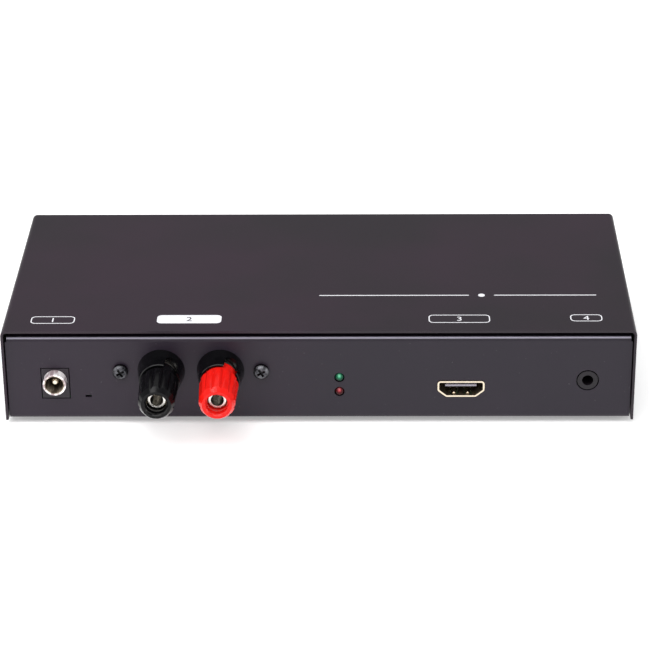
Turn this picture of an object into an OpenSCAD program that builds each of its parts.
// Line extender box: a folded steel tray and cover around one board. The front
// panel carries a power inlet, two wire posts with screw-down knobs, two status
// lights, a display port and a jack for a remote eye. X runs to the right, Y to
// the back and Z up, in millimetres, with the origin on the floor in the middle.

/* [Case] */
// Width of the cover over its side walls
case_w = 202; // [196:1:230]
// Depth of the cover from front to back
case_d = 90; // [86:1:120]
// Height of the case without its feet
case_h = 32; // [31:0.5:40]
// Thickness of the cover's sheet
cover_t = 0.8; // [0.6:0.1:1.2]
// Outside radius of the cover's folds
cover_fold_r = 1.8; // [1.4:0.1:3]
// Thickness of the tray's sheet
tray_t = 1; // [0.8:0.1:1.4]
// Outside radius of the tray's folds
tray_fold_r = 1.6; // [1.5:0.1:2.5]
// How far the cover stands out past the front and back panels
cover_lip = 1; // [0.5:0.1:2]
// Air between the tray and each side wall of the cover
side_gap = 0.4; // [0.2:0.05:0.8]
// Air between the panels and the top of the cover
top_gap = 2; // [0.5:0.1:3]
// Depth of the fold along the top of each panel
return_d = 8; // [5:0.5:12]
// Length cut off both ends of those folds
return_relief = 0.5; // [0.3:0.1:3]
// Height of the tray's side lips
side_lip_h = 11; // [9:0.5:13]
// Width of the slits that part the side lips from the panels
corner_slit = 1; // [0.5:0.1:2]

/* [Side vents] */
// Number of vents in each side wall
vent_count = 9; // [3:1:11]
// Distance from one vent to the next
vent_pitch = 6; // [4:0.5:6.5]
// Width of a vent
vent_w = 2; // [1:0.1:3]
// Height of a vent
vent_h = 11; // [6:0.5:12]
// Distance of the vents' middle from the top of the cover
vent_from_top = 12; // [9:0.5:14]

/* [Feet] */
// Diameter of a rubber foot where it is glued on
foot_d = 10; // [8:0.5:12]
// Diameter of a rubber foot on the floor
foot_floor_d = 9; // [6:0.5:10]
// Height of a rubber foot
foot_h = 2; // [1:0.1:4]
// Distance of a foot's middle from the edges of the cover
foot_inset = 18; // [16:0.5:22]

/* [Screws] */
// Thread diameter of all screws
screw_d = 3; // [2.5:0.1:3.2]
// Head diameter of the panel and board screws
screw_head_d = 5; // [4.5:0.1:5.6]
// Head height of the panel and board screws
screw_head_h = 1.9; // [1.6:0.1:2.4]
// Length of the panel screws under the head
panel_screw_l = 12; // [11.5:0.5:14]
// Length of the board screws under the head
board_screw_l = 6; // [4:0.5:6.5]
// Head diameter of the cover screws
cover_screw_head_d = 5.4; // [4.5:0.1:6]
// Head height of the cover screws
cover_screw_head_h = 1.2; // [1:0.1:1.6]
// Length of the cover screws under the head
cover_screw_l = 4; // [3.4:0.1:4.2]
// Distance of the cover screws from the front and back edges of the cover
cover_screw_inset = 12.5; // [10:0.5:20]
// Height of the cover screws above the bottom of the case
cover_screw_z = 4.5; // [4:0.1:5.5]
// Width of the arms of a cross recess
recess_arm_w = 0.8; // [0.6:0.1:1]
// Span of a cross recess
recess_span = 2.8; // [2:0.1:3.2]
// Depth of a cross recess
recess_depth = 0.8; // [0.4:0.1:0.9]
// Turn of the cross recesses that the front panel shows
recess_turn = 30; // [0:5:90]

/* [Boards] */
// Thickness of the main and the terminal board
board_t = 1.6; // [1:0.1:2]
// Height of the standoffs under the main board
standoff_h = 5; // [4.5:0.1:6]
// Diameter of a standoff
standoff_d = 6; // [5.5:0.1:7]
// Diameter of a standoff's shank in the tray
standoff_shank_d = 4.2; // [3.8:0.1:5]
// Air between the main board and the tray's side lips
board_side_gap = 2.2; // [2:0.1:3]
// Air between the main board and the front panel
board_front_gap = 0.5; // [0.3:0.1:0.9]
// Air between the main board and the back panel
board_back_gap = 3.5; // [1:0.5:6]
// Distance of the fixing holes from the main board's side edges
hole_from_side = 4; // [3.6:0.1:4.2]
// Distance of the front fixing holes from the main board's front edge
hole_from_front = 19; // [17:0.5:24]
// Distance of the back fixing holes from the main board's back edge
hole_from_back = 5; // [4:0.5:8]
// Air between the main board and the terminal board
terminal_rise = 1.7; // [1:0.1:2.5]

/* [Power inlet] */
// Middle of the inlet from the left edge of the cover
inlet_from_left = 16.6; // [14:0.1:20]
// Width of the inlet's housing
inlet_w = 8.7; // [8.5:0.1:10]
// Height of the inlet's housing
inlet_h = 10.5; // [10.2:0.1:12]
// Depth of the inlet's housing behind the face of the panel
inlet_d = 14; // [12.5:0.5:15]
// Height of the inlet's axis above the board
inlet_axis_h = 6.3; // [5.5:0.1:6.5]
// Outside diameter of the metal barrel
barrel_d = 7.4; // [7.2:0.1:8]
// Bore of the metal barrel
barrel_bore_d = 5.9; // [5.5:0.1:6.4]
// How far the barrel stands out of the panel
barrel_reach = 3.3; // [2:0.1:5]
// How deep the barrel sits in the housing
barrel_seat = 6; // [4:0.5:8]
// Depth of the plug's space behind the face of the panel
inlet_bore_depth = 9.5; // [8.5:0.5:10.5]
// Diameter of the centre pin
pin_d = 2.1; // [1.6:0.1:2.5]
// Diameter of the centre pin's root in the housing
pin_root_d = 1.5; // [1:0.1:1.6]
// How far the pin's tip lies behind the barrel's rim
pin_setback = 2; // [0.5:0.1:4]
// Distance of the small slot from the middle of the inlet
slot_from_inlet = 10.4; // [8:0.1:14]
// Width of the small slot
slot_w = 2; // [1:0.1:4]
// Height of the small slot
slot_h = 0.8; // [0.5:0.1:1.5]
// Height of the small slot's middle above the board
slot_above_board = 0.6; // [0.5:0.1:2]

/* [Wire posts] */
// Distance between the two posts
post_pitch = 19; // [18:0.5:22]
// Middle of the pair from the left edge of the cover
post_from_left = 60.2; // [58:0.1:68]
// Height of the posts, as a share of the way from the main board up to the panel's fold
post_share = 0.471; // [0.45:0.005:0.55]
// Distance between the two panel screws beside the posts
panel_screw_span = 45.1; // [43:0.1:50]
// Diameter of a collar on the panel
collar_d = 15.2; // [14:0.1:16.5]
// Diameter of a collar at its rim
collar_rim_d = 13; // [12.6:0.1:14]
// Length of a collar
collar_l = 8.2; // [7.8:0.1:9]
// Thickness of a collar's floor
collar_floor = 2.4; // [2:0.1:2.8]
// Diameter of a collar's spigot in the panel
collar_spigot_d = 8.4; // [7:0.1:9.5]
// Width of the notches that let a wire in
notch_w = 5; // [3:0.1:6]
// Angle of the wire's way above the horizontal
wire_angle = 53; // [0:1:90]
// Diameter of the wire hole through a stud
wire_hole_d = 2.8; // [2:0.1:3]
// Outside diameter of a stud's hollow end
stud_d = 5.7; // [5.2:0.1:6]
// Bore for a plug in a stud
stud_bore_d = 4.2; // [4:0.1:4.4]
// How far a stud ends behind the knob's face
stud_setback = 3.5; // [1:0.1:5]
// Diameter of a stud's threaded stem
stem_d = 3.5; // [3:0.1:3.6]
// Length of the stem behind the face of the panel
stem_l = 13; // [12.5:0.5:16]
// Diameter of a stud's shoulder
shoulder_d = 10.4; // [9:0.1:10.8]
// Thickness of a stud's shoulder
shoulder_t = 0.8; // [0.5:0.1:1]
// Thickness of the loose clamp ring
clamp_ring_t = 1; // [0.8:0.1:1.2]
// Thickness of the insulating washer behind the panel
washer_t = 2.5; // [2:0.1:3]
// Diameter of the insulating washer behind the panel
washer_d = 13; // [11:0.5:15]

/* [Knobs] */
// Diameter of the part of a knob inside its collar
spigot_d = 11; // [10.6:0.1:11.4]
// Largest diameter of a knob over its ribs
knob_d = 12.5; // [12.2:0.1:13.4]
// Diameter of a knob where its front chamfer starts
knob_front_d = 11.5; // [11.2:0.1:12.2]
// Diameter of a knob's face
knob_face_d = 9.4; // [8.8:0.1:10.8]
// Length of a knob in front of its collar
knob_l = 14.7; // [13.5:0.1:16]
// Number of ribs round a knob
knob_ribs = 12; // [10:1:16]
// Depth of the grooves between the ribs
groove_depth = 0.6; // [0.3:0.05:0.8]
// Radius of the ribs' rounded back ends
rib_end_r = 1.9; // [1:0.1:2.2]
// Length of the chamfer round a knob's front
knob_chamfer = 1.8; // [0.5:0.1:2.5]
// Diameter of the opening in a knob's face
mouth_d = 7.1; // [6.8:0.1:8]
// Depth of the opening in a knob's face
mouth_depth = 1.8; // [1:0.1:3]
// Diameter of the threaded insert
insert_d = 8.6; // [8.2:0.1:9]
// Length of the threaded insert
insert_l = 6; // [4.5:0.5:6]

/* [Status lights] */
// Place of the lights, as a share of the way from the terminal board to the port
light_share = 0.394; // [0.2:0.01:0.8]
// Diameter of a light
light_d = 3; // [2.8:0.1:3.2]
// Length of a light
light_l = 5.3; // [5:0.1:6]
// How far a light stands out of the panel
light_reach = 0.8; // [0:0.1:1.2]
// Height of the lower light above the board
light_above_board = 2.15; // [2:0.05:2.6]
// Distance from the lower light to the upper one
light_pitch = 5.08; // [4.6:0.01:6]
// Width of the lights' holder
holder_w = 5; // [4.6:0.1:6]
// Depth of the lights' holder
holder_d = 7.6; // [7.4:0.1:9]

/* [Display port] */
// Middle of the port from the right edge of the cover
port_from_right = 55.4; // [50:0.1:60]
// Width of the port's shell
port_w = 15; // [14.6:0.1:15.6]
// Height of the port's shell
port_h = 5.6; // [5.4:0.1:6]
// Width of the shell's narrow floor
port_floor_w = 9.8; // [9.4:0.1:10.6]
// Height at which the shell's sides start to slope in
port_slope_h = 2.2; // [1.6:0.1:2.6]
// Thickness of the shell
port_t = 0.5; // [0.3:0.05:0.6]
// Radius of the shell's corners
port_corner_r = 1; // [0.8:0.1:1.2]
// Depth of the shell
port_d = 11.5; // [10.5:0.5:14]
// How far the shell stands out of the panel
port_reach = 0.3; // [0:0.1:1]
// Height of the shell above the board
port_above_board = 0.35; // [0.1:0.05:0.6]
// Width of the contact tongue
tongue_w = 10; // [9.8:0.1:10.8]
// Thickness of the contact tongue
tongue_t = 0.9; // [0.7:0.1:1.2]
// Height of the tongue's middle above the shell's underside
tongue_h = 3.5; // [3.2:0.1:3.7]
// How far the tongue ends behind the shell's rim
tongue_setback = 1.2; // [0.8:0.1:2]
// Pitch of the contacts in one row
contact_pitch = 1; // [0.9:0.01:1]

/* [Eye jack] */
// Middle of the jack from the right edge of the cover
eye_from_right = 15; // [13:0.1:18]
// Width of the jack's housing
eye_w = 10; // [9:0.1:12]
// Height of the jack's housing
eye_h = 11; // [10:0.1:12]
// Depth of the jack's housing behind the face of the panel
eye_d = 12; // [11:0.5:14]
// Height of the jack's axis above the board
eye_axis_h = 6.1; // [5.5:0.1:6.4]
// Diameter of the jack's nose in the panel
nose_d = 6.5; // [6:0.1:7]
// Air round the nose in the panel's hole
nose_gap = 0.4; // [0.1:0.05:0.6]
// Bore of the jack
eye_bore_d = 3.6; // [3.5:0.1:3.8]

/* [Hidden] */
$fn = 64;

// Overrun of every cut, so that no skin is left on a face
overrun = 0.5;
// Air round a thread in its nut or tapped hole
thread_gap = 0.05;
// Air round a piece that is held firmly in its seat
snug_gap = 0.05;
// Air round a screw, stem or spigot in a plain hole
hole_gap = 0.15;
// Air between a knob or clamp ring and the fixed parts round it
knob_gap = 0.3;
// Air between a clamp ring and the knob that turns on it
ring_play = 0.1;
// Air round a leg or a wire in its hole
leg_gap = 0.1;
// Air round the port's shell in the panel
port_gap = 0.12;
// Air round the inlet's housing in the panel
inlet_gap = 0.3;
// Air between the panel and the holder or jack behind it
behind_gap = 0.3;
// How far legs reach out under the main board
leg_reach = 1;
// Thickness of sheet legs and springs
leg_t = 0.3;

// Plunge round a tapped hole in the side lip
plunge_d = 4.8;
plunge_l = 1;
// Nuts of the panel screws and of the posts' stems, over their flats
panel_nut_flats = 5.5;
panel_nut_h = 2.4;
post_nut_flats = 6;
post_nut_h = 2.8;
hexagon_share = 1 / cos(30);
// Terminal board beyond the panel screws
terminal_board_margin = 4.5;
// How deep a collar's spigot sits in its washer
spigot_seat = 1;
// Step from a collar's floor up to its notches
notch_step = 0.3;
// Chamfers on a collar's rim and round the opening in a knob's face
rim_chamfer = 0.2;
mouth_chamfer = 0.3;
// Chamfer on a stud's end and on the centre pin's tip
tip_chamfer = 0.4;
// Wall of a knob between its mouth and its insert
insert_cover = 4.4;
// How much the ribs' round crests are cut flat
crest_cut = 0.1;
// Chamfer round the hollow end of a stud
stud_rim_chamfer = 0.1;

// Leads from the terminal board down to the main board
lead_d = 2;
lead_core_d = 1;
lead_straight = 1;
lead_bend_r = 3;
lead_from_edge = 2.4;
lead_beside_post = 6.5;

// Contact spring of the inlet, beside the plug's pin, and the legs at its back
inlet_spring_x = 2.2;
inlet_spring_w = 1.5;
inlet_spring_tip = 2;
inlet_leg_w = 2.4;
spring_leg_w = 1.6;

// Flange and leads of a light
light_flange = 0.4;
light_flange_t = 1;
light_lead_t = 0.5;
light_lead_pitch = 2.54;
light_lead_back = 0.85;
holder_wall = 0.7;

// Springs in the port's shell, and its legs
port_spring_w = 1.8;
port_spring_l = 4.5;
port_spring_slit = 0.3;
port_spring_x = 2.2;
port_spring_back = 1.4;
port_bump_r = 0.5;
port_leg_w = 1.2;
port_leg_front = 3;
port_leg_back = 2;
port_leg_top = 1.2;
port_block_d = 4.5;
tongue_chamfer = 0.25;
// Contacts of the port
contact_w = 0.3;
contact_t = 0.15;
contact_setback = 0.4;
contact_row = 10;
tail_back = 0.6;
tail_foot = 0.6;

// Back wall of the eye jack, and its three contact strips
eye_back_wall = 1;
eye_contact_w = 1.5;
eye_contact_rise = 1;
eye_contact_depths = [3.5, 6.5, 9.5];
eye_contact_sides = [-1, 1, -1];

// Parts on the main board: middles as shares of its width and depth
processor_share = [0.62, 0.58];
processor_w = 23;
processor_h = 2.2;
sink_w = 28;
sink_base = 2.5;
sink_h = 9;
sink_fins = 9;
sink_fin_t = 1.2;
memory_shares = [[0.79, 0.42], [0.79, 0.66]];
memory_w = 8;
memory_d = 12;
memory_h = 1.2;
memory_pins = 8;
line_chip_share = [0.29, 0.74];
line_chip_w = 10;
line_chip_h = 1.4;
line_chip_pins = 6;
chip_pin_w = 0.4;
chip_pin_pitch = 1.27;
chip_pin_reach = 1;
chip_pin_t = 0.2;
transformer_share = [0.29, 0.42];
transformer_w = 13;
transformer_d = 11;
transformer_h = 8.5;
transformer_core_t = 2.5;
transformer_foot_h = 2;
transformer_gap = 0.3;
capacitor_shares = [[0.07, 0.46], [0.07, 0.62], [0.15, 0.46]];
capacitor_d = 8;
capacitor_h = 10;
capacitor_base_w = 8.6;
capacitor_base_h = 1.4;
capacitor_rim = 0.4;
inductor_shares = [[0.17, 0.66], [0.17, 0.85]];
inductor_w = 10;
inductor_h = 4;
inductor_drum_d = 9.2;
inductor_foot_h = 0.8;
crystal_share = [0.45, 0.6];
crystal_w = 11;
crystal_d = 4.6;
crystal_h = 3.5;
crystal_foot_h = 0.5;
crystal_brim = 0.4;

panel_w = case_w - 2 * (cover_t + side_gap);
panel_d = case_d - 2 * cover_lip;
panel_h = case_h - cover_t - top_gap;
post_reach = collar_l + knob_gap + knob_l;
panel_y = (post_reach - case_d + cover_lip) / 2;
cover_y = panel_y - cover_lip;
back_y = panel_y + panel_d;
middle_y = panel_y + panel_d / 2;

board_z = foot_h + tray_t + standoff_h;
board_top = board_z + board_t;
board_w = panel_w - 2 * (tray_t + board_side_gap);
board_y = panel_y + tray_t + board_front_gap;
board_back = back_y - tray_t - board_back_gap;
board_d = board_back - board_y;

inlet_x = inlet_from_left - case_w / 2;
inlet_z = board_top + inlet_axis_h;
inlet_leg_y = panel_y + inlet_d + leg_t / 2;
post_x = post_from_left - case_w / 2;
post_height = board_top + post_share * (foot_h + panel_h - tray_t - board_top);
terminal_board_h = 2 * (post_height - board_top - terminal_rise);
terminal_board_w = panel_screw_span + 2 * terminal_board_margin;
black_x = post_x - post_pitch / 2;
red_x = post_x + post_pitch / 2;
light_heights = [for (level = [0, 1]) board_top + light_above_board + level * light_pitch];
port_x = case_w / 2 - port_from_right;
light_from = post_x + terminal_board_w / 2;
light_x = light_from + light_share * (port_x - port_w / 2 - light_from);
port_z = board_top + port_above_board;
port_front = panel_y - port_reach;
port_back = port_front + port_d;
eye_x = case_w / 2 - eye_from_right;
eye_z = board_top + eye_axis_h;
eye_contact_x = eye_bore_d / 2 + snug_gap + leg_t / 2;

terminal_gap = washer_t + post_nut_h;
terminal_y = panel_y + tray_t + terminal_gap;
terminal_back = terminal_y + board_t;
lead_z = board_top + terminal_rise + lead_from_edge;
lead_places = [black_x - lead_beside_post, red_x + lead_beside_post];
lead_down_y = terminal_back + lead_straight + lead_bend_r;

// Distances out from the face of the panel, along a post
stud_end = post_reach - stud_setback;
stud_seat = collar_floor + shoulder_t;
wire_reach = stud_seat + knob_gap + wire_hole_d / 2;
notch_reach = collar_floor + notch_step + notch_w / 2;
ring_start = stud_seat + knob_gap;
spigot_start = ring_start + clamp_ring_t + ring_play;
knob_start = collar_l + knob_gap;
mouth_start = post_reach - mouth_depth;
insert_start = mouth_start - insert_cover - insert_l;
rib_r = PI * knob_d / knob_ribs / 2;

// Places of the board's fixings and of the cover's screws
hole_columns = [-board_w / 2 + hole_from_side, (light_x + port_x) / 2, board_w / 2 - hole_from_side];
hole_rows = [board_y + hole_from_front, board_back - hole_from_back];
cover_screw_rows = [cover_y + cover_screw_inset, cover_y + case_d - cover_screw_inset];

// Place on top of the main board from shares of its width and depth
function on_board(share) = [(share[0] - 1 / 2) * board_w, board_y + share[1] * board_d, board_top];

// Draws a flat outline upright, seen from the front, and runs it from one depth to another
module across(y_from, y_to) {
    translate([0, y_to, 0])
        rotate([90, 0, 0])
            linear_extrude(height = y_to - y_from)
                children();
}

// Draws a flat outline upright, seen from the side, and runs it over the width
module along(width) {
    translate([-width / 2, 0, 0])
        rotate([90, 0, 90])
            linear_extrude(height = width)
                children();
}

// Turns the children so that their Z points out of the front panel, from its face
module facing_out(x, z) {
    translate([x, panel_y, z])
        rotate([90, 0, 0])
            children();
}

// Flat block on the X axis with its two upper corners rounded
module arched(width, height, r) {
    translate([-width / 2, 0])
        square([width, height - r]);
    translate([r - width / 2, 0])
        square([width - 2 * r, height]);
    for (side = [-1, 1])
        translate([side * (width / 2 - r), height - r])
            circle(r = r);
}

// Flat block from the origin with four rounded corners
module rounded(width, height, r) {
    translate([0, r])
        square([width, height - 2 * r]);
    translate([r, 0])
        square([width - 2 * r, height]);
    for (x = [r, width - r], y = [r, height - r])
        translate([x, y])
            circle(r = r);
}

// Block that stands on the origin
module block(width, depth, height) {
    translate([-width / 2, -depth / 2, 0])
        cube([width, depth, height]);
}

// Hole down from a height, with an overrun at both ends
module hole(d, top, depth) {
    translate([0, 0, top - depth - overrun])
        cylinder(d = d, h = depth + 2 * overrun);
}

// Plain tube from one height to another
module tube(outer, inner, start, length) {
    difference() {
        translate([0, 0, start])
            cylinder(d = outer, h = length);
        hole(inner, start + length, length);
    }
}

// Pan head screw that stands on the origin, with its shank down
module screw(head_d, head_h, length) {
    crown = head_h / 3;
    difference() {
        union() {
            translate([0, 0, -length])
                cylinder(d = screw_d, h = length);
            cylinder(d = head_d, h = head_h - crown);
            translate([0, 0, head_h - crown])
                cylinder(d1 = head_d, d2 = head_d - 2 * crown, h = crown);
        }
        for (turn = [0, 90])
            rotate([0, 0, turn])
                translate([0, 0, head_h - recess_depth])
                    block(recess_span, recess_arm_w, recess_depth + overrun);
    }
}

// Hexagon nut from the origin up
module nut(flats, thread, height) {
    difference() {
        cylinder(r = flats / 2 * hexagon_share, h = height, $fn = 6);
        hole(thread + 2 * thread_gap, height, height);
    }
}

// Leg with a square section, from a height down through the main board
module leg(x, y, size_x, size_y, top, gap) {
    bottom = board_z - leg_reach - gap;
    translate([x, y, bottom])
        block(size_x + 2 * gap, size_y + 2 * gap, top - bottom);
}

// Case

// Section of the tray's floor, panels and folds, seen from the side
module tray_outline() {
    difference() {
        rounded(panel_d, panel_h, tray_fold_r);
        translate([tray_t, tray_t])
            rounded(panel_d - 2 * tray_t, panel_h - 2 * tray_t, tray_fold_r - tray_t);
        translate([return_d, panel_h - tray_t - overrun])
            square([panel_d - 2 * return_d, tray_t + 2 * overrun]);
    }
}

// Section of the tray's floor and side lips, seen from the front
module lip_outline() {
    translate([0, side_lip_h])
        mirror([0, 1])
            difference() {
                arched(panel_w, side_lip_h, tray_fold_r);
                translate([0, -overrun])
                    arched(
                        panel_w - 2 * tray_t,
                        side_lip_h - tray_t + overrun,
                        tray_fold_r - tray_t
                    );
            }
}

// Places the children at the cover screws, with their Z out through the side wall
module at_cover_screws(x) {
    for (side = [-1, 1], y = cover_screw_rows)
        translate([side * x, y, foot_h + cover_screw_z])
            rotate([0, side * 90, 0])
                children();
}

// Outline of the port's shell, drawn in by a distance all round
module port_outline(inset) {
    places = [
        [port_w / 2 - port_corner_r, port_h - port_corner_r],
        [port_w / 2 - port_corner_r, port_slope_h + port_corner_r / 2],
        [(port_floor_w - port_corner_r) / 2, port_corner_r]
    ];
    hull()
        for (side = [-1, 1], place = places)
            translate([side * place[0], place[1]])
                circle(r = port_corner_r - inset, $fn = 32);
}

module panel_openings() {
    for (x = [black_x, red_x])
        facing_out(x, post_height)
            hole(collar_spigot_d + 2 * hole_gap, 0, tray_t);
    at_panel_screws()
        hole(screw_d + 2 * hole_gap, 0, tray_t);
    for (z = light_heights)
        facing_out(light_x, z)
            hole(light_d + 2 * hole_gap, 0, tray_t);
    facing_out(eye_x, eye_z)
        hole(nose_d + 2 * nose_gap, 0, tray_t);
    translate([port_x, 0, port_z])
        across(panel_y - overrun, panel_y + tray_t + overrun)
            port_outline(-port_gap);
    translate([inlet_x, panel_y + tray_t / 2, board_top - inlet_gap])
        block(inlet_w + 2 * inlet_gap, tray_t + 2 * overrun, inlet_h + 2 * inlet_gap);
    translate([inlet_x + slot_from_inlet, panel_y + tray_t / 2, board_top + slot_above_board - slot_h / 2])
        block(slot_w, tray_t + 2 * overrun, slot_h);
}

// Floor, panels, folds and side lips, all of one sheet
module base_tray() {
    lip_from = panel_y + tray_fold_r;
    lip_to = back_y - tray_fold_r;
    color("#3e3c42")
        difference() {
            union() {
                difference() {
                    translate([0, panel_y, foot_h])
                        along(panel_w)
                            tray_outline();
                    for (side = [-1, 1])
                        translate([side * panel_w / 2, middle_y, foot_h - overrun])
                            block(2 * tray_fold_r, lip_to - lip_from, tray_fold_r + overrun);
                    for (side = [-1, 1], y = [panel_y, back_y])
                        translate([side * panel_w / 2, y, foot_h + panel_h - tray_fold_r])
                            block(2 * return_relief, 2 * (return_d + overrun), tray_fold_r + overrun);
                }
                translate([0, 0, foot_h])
                    across(lip_from + corner_slit, lip_to - corner_slit)
                        lip_outline();
                at_cover_screws(panel_w / 2 - tray_t - plunge_l)
                    cylinder(d = plunge_d, h = plunge_l + tray_t / 2);
            }
            panel_openings();
            at_cover_screws(panel_w / 2)
                hole(screw_d + 2 * thread_gap, 0, tray_t + plunge_l);
            for (x = hole_columns, y = hole_rows)
                translate([x, y, foot_h])
                    hole(standoff_shank_d + 2 * thread_gap, tray_t, tray_t);
        }
}

// One upright vent with round ends, through both side walls
module vent() {
    straight = vent_h - vent_w;
    block(case_w + 2 * overrun, vent_w, straight);
    for (z = [0, straight])
        translate([-case_w / 2 - overrun, 0, z])
            rotate([0, 90, 0])
                cylinder(d = vent_w, h = case_w + 2 * overrun);
}

// Top and side walls, one sheet with two folds
module top_cover() {
    color("#443e43")
        difference() {
            translate([0, 0, foot_h])
                across(cover_y, cover_y + case_d)
                    difference() {
                        arched(case_w, case_h, cover_fold_r);
                        translate([0, -overrun])
                            arched(
                                case_w - 2 * cover_t,
                                case_h - cover_t + overrun,
                                cover_fold_r - cover_t
                            );
                    }
            at_cover_screws(case_w / 2)
                hole(screw_d + 2 * hole_gap, 0, cover_t);
            for (i = [0:vent_count - 1])
                translate([
                    0,
                    middle_y + (i - (vent_count - 1) / 2) * vent_pitch,
                    foot_h + case_h - vent_from_top - (vent_h - vent_w) / 2
                ])
                    vent();
        }
}

module cover_screws() {
    color("#2c2b2e")
        at_cover_screws(case_w / 2)
            screw(cover_screw_head_d, cover_screw_head_h, cover_screw_l);
}

module rubber_feet() {
    color("#18181a")
        for (side = [-1, 1], y = [cover_y + foot_inset, cover_y + case_d - foot_inset])
            translate([side * (case_w / 2 - foot_inset), y, 0])
                cylinder(d1 = foot_floor_d, d2 = foot_d, h = foot_h);
}

// Main board and its fixings

module board_standoffs() {
    color("#b9bbbd")
        for (x = hole_columns, y = hole_rows)
            translate([x, y, foot_h])
                difference() {
                    union() {
                        cylinder(d = standoff_shank_d, h = tray_t);
                        translate([0, 0, tray_t])
                            cylinder(d = standoff_d, h = standoff_h);
                    }
                    hole(screw_d + 2 * thread_gap, tray_t + standoff_h, tray_t + standoff_h);
                }
}

module main_board() {
    color("#1f5a35")
        difference() {
            translate([0, board_y + board_d / 2, board_z])
                block(board_w, board_d, board_t);
            for (x = hole_columns, y = hole_rows)
                translate([x, y, board_top])
                    hole(screw_d + 2 * hole_gap, 0, board_t);
            for (x = lead_places)
                translate([x, lead_down_y, board_top])
                    hole(lead_core_d + 2 * leg_gap, 0, board_t);
            pin_leg(leg_gap);
            spring_leg(leg_gap);
            light_legs(leg_gap);
            port_legs(leg_gap);
            eye_contact_strips(leg_gap);
        }
}

module board_screws() {
    color("#b9bbbd")
        for (x = hole_columns, y = hole_rows)
            translate([x, y, board_top])
                screw(screw_head_d, screw_head_h, board_screw_l);
}

// Terminal board behind the posts

module at_panel_screws() {
    for (side = [-1, 1])
        facing_out(post_x + side * panel_screw_span / 2, post_height)
            children();
}

module panel_screws() {
    color("#1c1b1e")
        at_panel_screws()
            rotate([0, 0, recess_turn])
                screw(screw_head_d, screw_head_h, panel_screw_l);
}

module panel_spacers() {
    color("#b9bbbd")
        at_panel_screws()
            tube(2 * screw_d, screw_d + 2 * hole_gap, -tray_t - terminal_gap, terminal_gap);
}

module panel_nuts() {
    color("#b9bbbd")
        at_panel_screws()
            translate([0, 0, panel_y - terminal_back - panel_nut_h])
                nut(panel_nut_flats, screw_d, panel_nut_h);
}

module terminal_board() {
    color("#1f5a35")
        difference() {
            translate([post_x, terminal_y + board_t / 2, post_height - terminal_board_h / 2])
                block(terminal_board_w, board_t, terminal_board_h);
            at_panel_screws()
                hole(screw_d + 2 * hole_gap, panel_y - terminal_y, board_t);
            for (x = [black_x, red_x])
                facing_out(x, post_height)
                    hole(stem_d + 2 * hole_gap, panel_y - terminal_y, board_t);
            for (x = lead_places)
                facing_out(x, lead_z)
                    hole(lead_core_d + 2 * leg_gap, panel_y - terminal_y, board_t);
        }
}

// Two nuts on each stem: one holds the post to the panel, one the terminal board
module post_nuts() {
    color("#c9b98a")
        for (x = [black_x, red_x], y = [terminal_y, terminal_back + post_nut_h])
            facing_out(x, post_height)
                translate([0, 0, panel_y - y])
                    nut(post_nut_flats, stem_d, post_nut_h);
}

// Insulated wire that leaves the terminal board, bends down and enters the main board
module lead(x) {
    facing_out(x, lead_z) {
        translate([0, 0, panel_y - terminal_back])
            cylinder(d = lead_core_d, h = board_t + leg_reach);
        translate([0, 0, panel_y - terminal_back - lead_straight])
            cylinder(d = lead_d, h = lead_straight);
    }
    translate([x, terminal_back + lead_straight, lead_z - lead_bend_r])
        rotate([0, -90, 0])
            rotate_extrude(angle = 90)
                translate([lead_bend_r, 0])
                    circle(d = lead_d);
    translate([x, lead_down_y, board_top])
        cylinder(d = lead_d, h = lead_z - lead_bend_r - board_top);
    translate([x, lead_down_y, board_z - leg_reach])
        cylinder(d = lead_core_d, h = board_t + leg_reach);
}

module black_lead() {
    color("#161617")
        lead(lead_places[0]);
}

module red_lead() {
    color("#b81a1a")
        lead(lead_places[1]);
}

// Wire posts

// Insulating collar: a cone on the panel, with a recess for the knob, two
// notches for a wire and a spigot through the panel
module post_collar(x) {
    recess_r = spigot_d / 2 + knob_gap;
    stem_hole_r = stem_d / 2 + hole_gap;
    facing_out(x, post_height)
        difference() {
            rotate_extrude()
                polygon([
                    [stem_hole_r, -tray_t - spigot_seat],
                    [collar_spigot_d / 2, -tray_t - spigot_seat],
                    [collar_spigot_d / 2, 0],
                    [collar_d / 2, 0],
                    [collar_rim_d / 2, collar_l - rim_chamfer],
                    [collar_rim_d / 2 - rim_chamfer, collar_l],
                    [recess_r, collar_l],
                    [recess_r, collar_floor],
                    [stem_hole_r, collar_floor]
                ]);
            rotate([0, 0, wire_angle])
                translate([0, 0, notch_reach]) {
                    block(collar_d + 2 * overrun, notch_w, collar_l);
                    translate([-collar_d / 2 - overrun, 0, 0])
                        rotate([0, 90, 0])
                            cylinder(d = notch_w, h = collar_d + 2 * overrun);
                }
        }
}

module black_post_collar() {
    color("#101011")
        post_collar(black_x);
}

module red_post_collar() {
    color("#101011")
        post_collar(red_x);
}

module post_washer(x) {
    color("#26262a")
        facing_out(x, post_height)
            difference() {
                tube(washer_d, stem_d + 2 * hole_gap, -tray_t - washer_t, washer_t);
                hole(collar_spigot_d + 2 * hole_gap, overrun - tray_t, spigot_seat);
            }
}

module black_post_washer() {
    post_washer(black_x);
}

module red_post_washer() {
    post_washer(red_x);
}

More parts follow.
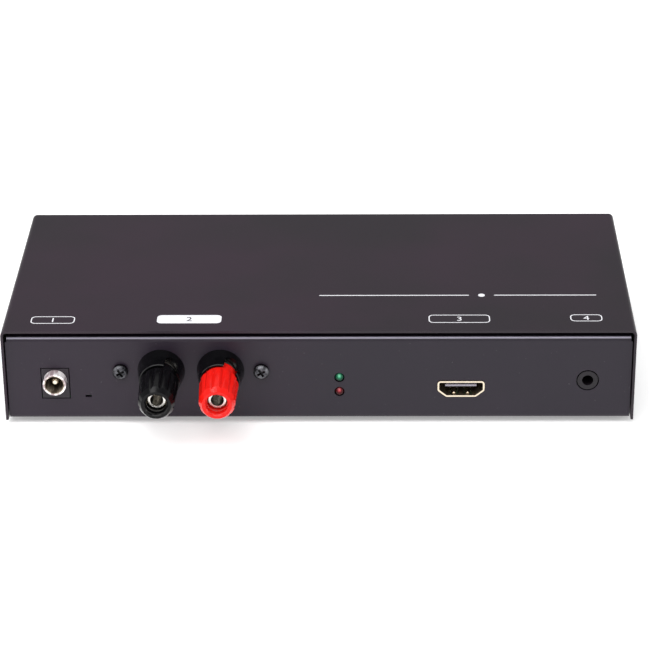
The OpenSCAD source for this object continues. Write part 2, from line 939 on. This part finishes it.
// Turned stud: threaded stem, shoulder, and a hollow threaded end with a wire hole
module post_stud(x) {
    color("#cfcac0")
        facing_out(x, post_height)
            difference() {
                rotate_extrude()
                    polygon([
                        [0, -stem_l],
                        [stem_d / 2 - tip_chamfer, -stem_l],
                        [stem_d / 2, tip_chamfer - stem_l],
                        [stem_d / 2, collar_floor],
                        [shoulder_d / 2, collar_floor],
                        [shoulder_d / 2, stud_seat],
                        [stud_d / 2, stud_seat],
                        [stud_d / 2, stud_end - stud_rim_chamfer],
                        [stud_d / 2 - stud_rim_chamfer, stud_end],
                        [0, stud_end]
                    ]);
                translate([0, 0, stud_seat])
                    cylinder(d = stud_bore_d, h = stud_end);
                translate([0, 0, wire_reach])
                    rotate([0, 90, wire_angle])
                        translate([0, 0, -stud_d])
                            cylinder(d = wire_hole_d, h = 2 * stud_d);
            }
}

module black_post_stud() {
    post_stud(black_x);
}

module red_post_stud() {
    post_stud(red_x);
}

// Loose ring that the knob presses on the wire without turning it
module clamp_ring(x) {
    color("#cfcac0")
        facing_out(x, post_height)
            tube(spigot_d - knob_gap, stud_d + 2 * knob_gap, ring_start, clamp_ring_t);
}

module black_clamp_ring() {
    clamp_ring(black_x);
}

module red_clamp_ring() {
    clamp_ring(red_x);
}

// Half of the knob's section: rounded behind, tapered, chamfered in front
module knob_section() {
    shoulder = knob_start + rib_end_r;
    translate([knob_d / 2 - rib_end_r, shoulder])
        circle(r = rib_end_r);
    translate([0, knob_start])
        square([knob_d / 2 - rib_end_r, rib_end_r]);
    polygon([
        [0, shoulder],
        [knob_d / 2, shoulder],
        [knob_front_d / 2, post_reach - knob_chamfer],
        [knob_face_d / 2, post_reach],
        [0, post_reach]
    ]);
}

// Ribbed body: a cone with leaning ribs, cut to the knob's section
module knob_body() {
    lean = atan((knob_d - knob_front_d) / 2 / knob_l);
    lean_reach = overrun * tan(lean);
    root_d = knob_d - 2 * (groove_depth - lean_reach);
    root_front_d = knob_front_d - 2 * (groove_depth + lean_reach);
    intersection() {
        rotate_extrude()
            knob_section();
        translate([0, 0, knob_start - overrun]) {
            cylinder(d1 = root_d, d2 = root_front_d, h = knob_l + 2 * overrun);
            for (i = [1:knob_ribs])
                rotate([0, 0, i * 360 / knob_ribs])
                    translate([knob_d / 2 + crest_cut - rib_r, 0, 0])
                        rotate([0, -lean, 0])
                            cylinder(r = rib_r, h = knob_l + 2 * overrun);
        }
    }
}

module knob(x) {
    facing_out(x, post_height)
        difference() {
            union() {
                translate([0, 0, spigot_start])
                    cylinder(d = spigot_d, h = knob_start - spigot_start + rib_end_r);
                knob_body();
            }
            hole(stud_d + 2 * knob_gap, post_reach, post_reach - spigot_start);
            translate([0, 0, insert_start])
                cylinder(d = insert_d, h = insert_l);
            translate([0, 0, mouth_start])
                cylinder(d = mouth_d, h = mouth_depth);
            translate([0, 0, post_reach - mouth_chamfer])
                cylinder(
                    d1 = mouth_d,
                    d2 = mouth_d + 2 * (mouth_chamfer + overrun),
                    h = mouth_chamfer + overrun
                );
        }
}

module black_knob() {
    color("#151516")
        knob(black_x);
}

module red_knob() {
    color("#d41f1f")
        knob(red_x);
}

// Threaded insert moulded into the knob
module knob_insert(x) {
    color("#c2a864")
        facing_out(x, post_height)
            tube(insert_d, stud_d + 2 * thread_gap, insert_start, insert_l);
}

module black_knob_insert() {
    knob_insert(black_x);
}

module red_knob_insert() {
    knob_insert(red_x);
}

// Power inlet

module pin_leg(gap) {
    leg(inlet_x, inlet_leg_y, inlet_leg_w, leg_t, inlet_z + pin_d / 2, gap);
}

module spring_leg(gap) {
    x = inlet_x + inlet_spring_x + spring_leg_w / 2;
    leg(x, inlet_leg_y, spring_leg_w, leg_t, inlet_z + inlet_spring_w / 2, gap);
}

// Moulded block: seat for the barrel, space for a plug, and slots for pin and spring
module inlet_housing() {
    color("#232226")
        difference() {
            translate([inlet_x, panel_y + inlet_d / 2, board_top])
                block(inlet_w, inlet_d, inlet_h);
            facing_out(inlet_x, inlet_z) {
                translate([0, 0, -barrel_seat])
                    cylinder(d = barrel_d, h = barrel_seat + overrun);
                translate([0, 0, -inlet_bore_depth])
                    cylinder(d = barrel_bore_d, h = inlet_bore_depth);
                hole(pin_root_d + 2 * snug_gap, -inlet_bore_depth, inlet_d - inlet_bore_depth);
                translate([inlet_spring_x + leg_t / 2, 0, -inlet_d - overrun])
                    block(leg_t, inlet_spring_w, inlet_d - barrel_seat + overrun);
            }
        }
}

module inlet_barrel() {
    color("#d9dadb")
        facing_out(inlet_x, inlet_z)
            tube(barrel_d, barrel_bore_d, -barrel_seat, barrel_seat + barrel_reach);
}

module inlet_pin() {
    tip = barrel_reach - pin_setback;
    color("#cfcac0") {
        facing_out(inlet_x, inlet_z) {
            translate([0, 0, -inlet_d])
                cylinder(d = pin_root_d, h = inlet_d);
            translate([0, 0, -inlet_bore_depth])
                cylinder(d = pin_d, h = inlet_bore_depth + tip - tip_chamfer);
            translate([0, 0, tip - tip_chamfer])
                cylinder(d1 = pin_d, d2 = pin_d - 2 * tip_chamfer, h = tip_chamfer);
        }
        pin_leg(0);
    }
}

module inlet_spring() {
    color("#cfcac0") {
        facing_out(inlet_x, inlet_z)
            translate([inlet_spring_x + leg_t / 2, 0, -inlet_d])
                block(leg_t, inlet_spring_w, inlet_d - inlet_spring_tip);
        spring_leg(0);
    }
}

// Status lights

// Depth behind the panel's face at which a light's leads turn down
function lead_depth(level) = light_l - light_reach + light_lead_back + level * light_lead_pitch;

module light_legs(gap) {
    for (side = [-1, 1], level = [0, 1])
        leg(
            light_x + side * light_lead_pitch / 2,
            panel_y + lead_depth(level),
            light_lead_t,
            light_lead_t,
            light_heights[level] + light_lead_t / 2,
            gap
        );
}

module light(level) {
    straight = light_l - light_d / 2;
    facing_out(light_x, light_heights[level])
        translate([0, 0, light_reach - light_l]) {
            cylinder(d = light_d, h = straight);
            cylinder(d = light_d + 2 * light_flange, h = light_flange_t);
            translate([0, 0, straight])
                sphere(d = light_d);
        }
}

module green_light() {
    color("#2e8b57")
        light(1);
}

module red_light() {
    color("#8c1420")
        light(0);
}

module light_leads() {
    color("#b9bbbd") {
        light_legs(0);
        for (side = [-1, 1], level = [0, 1])
            facing_out(light_x + side * light_lead_pitch / 2, light_heights[level])
                translate([0, 0, -lead_depth(level)])
                    block(light_lead_t, light_lead_t, lead_depth(level) - light_l + light_reach);
    }
}

// Block with two stepped bores, open behind and below for the leads
module light_holder() {
    light_back = light_l - light_reach;
    top = light_heights[1] + light_d / 2 + light_flange + 2 * holder_wall;
    front = panel_y + tray_t + behind_gap;
    cavity = panel_y + light_back;
    cavity_d = front + holder_d - cavity;
    color("#1b1b1d")
        difference() {
            translate([light_x, front + holder_d / 2, board_top])
                block(holder_w, holder_d, top - board_top);
            translate([light_x, cavity + cavity_d / 2 + overrun / 2, board_top - overrun])
                block(holder_w - 2 * holder_wall, cavity_d + overrun, top - board_top - holder_wall + overrun);
            for (z = light_heights)
                facing_out(light_x, z) {
                    hole(light_d + 2 * snug_gap, 0, light_back);
                    hole(
                        light_d + 2 * (light_flange + snug_gap),
                        light_flange_t - light_back - overrun,
                        light_flange_t
                    );
                }
        }
}

// Display port

module port_legs(gap) {
    for (side = [-1, 1], y = [port_front + port_leg_front, port_back - port_leg_back])
        leg(
            port_x + side * (port_w - port_t) / 2,
            y,
            port_t,
            port_leg_w,
            port_z + port_slope_h + port_leg_top,
            gap
        );
}

// Slits round the two spring tabs of a wall, cut down from the origin
module port_spring_slits() {
    for (side = [-1, 1])
        translate([side * port_spring_x, 0, -port_t - overrun])
            difference() {
                translate([-port_spring_w / 2 - port_spring_slit, -port_spring_slit, 0])
                    cube([
                        port_spring_w + 2 * port_spring_slit,
                        port_spring_l + port_spring_slit,
                        port_t + 2 * overrun
                    ]);
                translate([-port_spring_w / 2, 0, -overrun])
                    cube([port_spring_w, port_spring_l + overrun, port_t + 4 * overrun]);
            }
}

// Folded shell with its legs, and a pair of spring tabs in the floor and the roof
module port_shell() {
    spring_y = port_front + port_spring_back;
    color("#d8c49a") {
        difference() {
            translate([port_x, 0, port_z])
                across(port_front, port_back)
                    difference() {
                        port_outline(0);
                        port_outline(port_t);
                    }
            for (z = [port_t, port_h])
                translate([port_x, spring_y, port_z + z])
                    port_spring_slits();
        }
        for (side = [-1, 1])
            translate([port_x + side * port_spring_x, spring_y + port_bump_r, port_z])
                intersection() {
                    translate([0, 0, port_t])
                        sphere(r = port_bump_r);
                    translate([0, 0, port_t / 2])
                        block(2 * port_bump_r, 2 * port_bump_r, port_t + port_bump_r);
                }
        port_legs(0);
    }
}

// Contact strip on the tongue, through the block and down to a foot on the board
module port_contact(x, z) {
    strip_from = port_front + tongue_setback + contact_setback;
    strip_to = port_back + tail_back;
    translate([port_x + x, (strip_from + strip_to) / 2, z])
        block(contact_w, strip_to - strip_from, contact_t);
    translate([port_x + x, strip_to - contact_t / 2, board_top])
        block(contact_w, contact_t, z + contact_t - board_top);
    translate([port_x + x, strip_to + tail_foot / 2 - contact_t / 2, board_top])
        block(contact_w, tail_foot + contact_t, contact_t);
}

module port_contacts() {
    middle = port_z + tongue_h;
    color("#d9b84f") {
        for (i = [0:contact_row - 1])
            port_contact((i - (contact_row - 1) / 2) * contact_pitch, middle + tongue_t / 2 - contact_t);
        for (i = [0:contact_row - 2])
            port_contact((i - (contact_row - 2) / 2) * contact_pitch, middle - tongue_t / 2);
    }
}

module port_insulator() {
    tongue_from = port_front + tongue_setback;
    color("#1a1a1c")
        difference() {
            union() {
                translate([port_x, 0, port_z])
                    across(port_back - port_block_d, port_back)
                        port_outline(port_t + snug_gap);
                translate([port_x, 0, port_z + tongue_h])
                    along(tongue_w)
                        polygon([
                            [tongue_from, -tongue_t / 2 + tongue_chamfer],
                            [tongue_from + tongue_chamfer, -tongue_t / 2],
                            [port_back, -tongue_t / 2],
                            [port_back, tongue_t / 2],
                            [tongue_from + tongue_chamfer, tongue_t / 2],
                            [tongue_from, tongue_t / 2 - tongue_chamfer]
                        ]);
            }
            port_contacts();
        }
}

// Eye jack

module eye_contact_strips(gap) {
    for (i = [0:len(eye_contact_depths) - 1])
        leg(
            eye_x + eye_contact_sides[i] * eye_contact_x,
            panel_y + eye_contact_depths[i],
            leg_t,
            eye_contact_w,
            eye_z + eye_contact_rise + gap,
            gap
        );
}

module eye_jack_contacts() {
    color("#cfcac0")
        eye_contact_strips(0);
}

module eye_jack_housing() {
    front = tray_t + behind_gap;
    color("#1b1b1d")
        difference() {
            union() {
                translate([eye_x, panel_y + (eye_d + front) / 2, board_top])
                    block(eye_w, eye_d - front, eye_h);
                facing_out(eye_x, eye_z)
                    translate([0, 0, -front - eye_back_wall])
                        cylinder(d = nose_d, h = front + eye_back_wall);
            }
            facing_out(eye_x, eye_z)
                translate([0, 0, eye_back_wall - eye_d])
                    cylinder(d = eye_bore_d, h = eye_d);
            eye_contact_strips(leg_gap);
        }
}

// Parts on the main board

// Flat package with a row of bent pins along its left and right edges
module package(width, depth, height, pins) {
    translate([0, 0, chip_pin_t / 2])
        block(width, depth, height);
    for (side = [-1, 1], i = [0:pins - 1])
        translate([
            side * (width + chip_pin_reach) / 2,
            (i - (pins - 1) / 2) * chip_pin_pitch,
            0
        ]) {
            block(chip_pin_reach, chip_pin_w, chip_pin_t);
            translate([side * (chip_pin_t - chip_pin_reach) / 2, 0, 0])
                block(chip_pin_t, chip_pin_w, height / 2);
        }
}

module processor() {
    color("#1d1d20")
        translate(on_board(processor_share))
            block(processor_w, processor_w, processor_h);
}

// Finned sink glued on the processor
module heat_sink() {
    pitch = (sink_w - sink_fin_t) / (sink_fins - 1);
    color("#2b2d31")
        translate(on_board(processor_share))
            translate([0, 0, processor_h]) {
                block(sink_w, sink_w, sink_base);
                for (i = [0:sink_fins - 1])
                    translate([(i - (sink_fins - 1) / 2) * pitch, 0, 0])
                        block(sink_fin_t, sink_w, sink_h);
            }
}

module memory_chips() {
    color("#1d1d20")
        for (share = memory_shares)
            translate(on_board(share))
                package(memory_w, memory_d, memory_h, memory_pins);
}

module line_chip() {
    color("#1d1d20")
        translate(on_board(line_chip_share))
            package(line_chip_w, line_chip_w, line_chip_h, line_chip_pins);
}

// Coil on a bobbin inside a square ferrite frame
module line_transformer() {
    window_w = transformer_w - 2 * transformer_core_t;
    window_h = transformer_h - transformer_foot_h - 2 * transformer_core_t;
    color("#3a3836")
        translate(on_board(transformer_share)) {
            block(transformer_w, transformer_d, transformer_foot_h);
            difference() {
                translate([0, 0, transformer_foot_h])
                    block(transformer_w, transformer_d - transformer_core_t, transformer_h - transformer_foot_h);
                translate([0, 0, transformer_foot_h + transformer_core_t])
                    block(window_w, transformer_d, window_h);
            }
            translate([-window_w / 2, 0, transformer_foot_h + transformer_core_t + window_h / 2])
                rotate([0, 90, 0])
                    cylinder(d = window_h - 2 * transformer_gap, h = window_w);
        }
}

// Upright electrolytic cans on square bases
module capacitors() {
    color("#c4c6c9")
        for (share = capacitor_shares)
            translate(on_board(share)) {
                block(capacitor_base_w, capacitor_base_w, capacitor_base_h);
                cylinder(d = capacitor_d, h = capacitor_h - capacitor_rim);
                cylinder(d = capacitor_d - 2 * capacitor_rim, h = capacitor_h);
            }
}

module power_inductors() {
    color("#3a3a3d")
        for (share = inductor_shares)
            translate(on_board(share)) {
                block(inductor_w, inductor_w, inductor_foot_h);
                cylinder(d = inductor_drum_d, h = inductor_h);
            }
}

// Can with round ends on a brim
module crystal() {
    straight = crystal_w - crystal_d;
    color("#c4c6c9")
        translate(on_board(crystal_share)) {
            block(straight, crystal_d, crystal_foot_h);
            block(straight, crystal_d - 2 * crystal_brim, crystal_h);
            for (side = [-1, 1])
                translate([side * straight / 2, 0, 0]) {
                    cylinder(d = crystal_d, h = crystal_foot_h);
                    cylinder(d = crystal_d - 2 * crystal_brim, h = crystal_h);
                }
        }
}

base_tray();
top_cover();
cover_screws();
rubber_feet();
board_standoffs();
main_board();
board_screws();
panel_screws();
panel_spacers();
panel_nuts();
terminal_board();
post_nuts();
black_post_collar();
red_post_collar();
black_post_washer();
red_post_washer();
black_post_stud();
red_post_stud();
black_clamp_ring();
red_clamp_ring();
black_knob();
red_knob();
black_knob_insert();
red_knob_insert();
black_lead();
red_lead();
inlet_housing();
inlet_barrel();
inlet_pin();
inlet_spring();
light_holder();
green_light();
red_light();
light_leads();
port_shell();
port_insulator();
port_contacts();
eye_jack_housing();
eye_jack_contacts();
processor();
heat_sink();
memory_chips();
line_chip();
line_transformer();
capacitors();
power_inductors();
crystal();
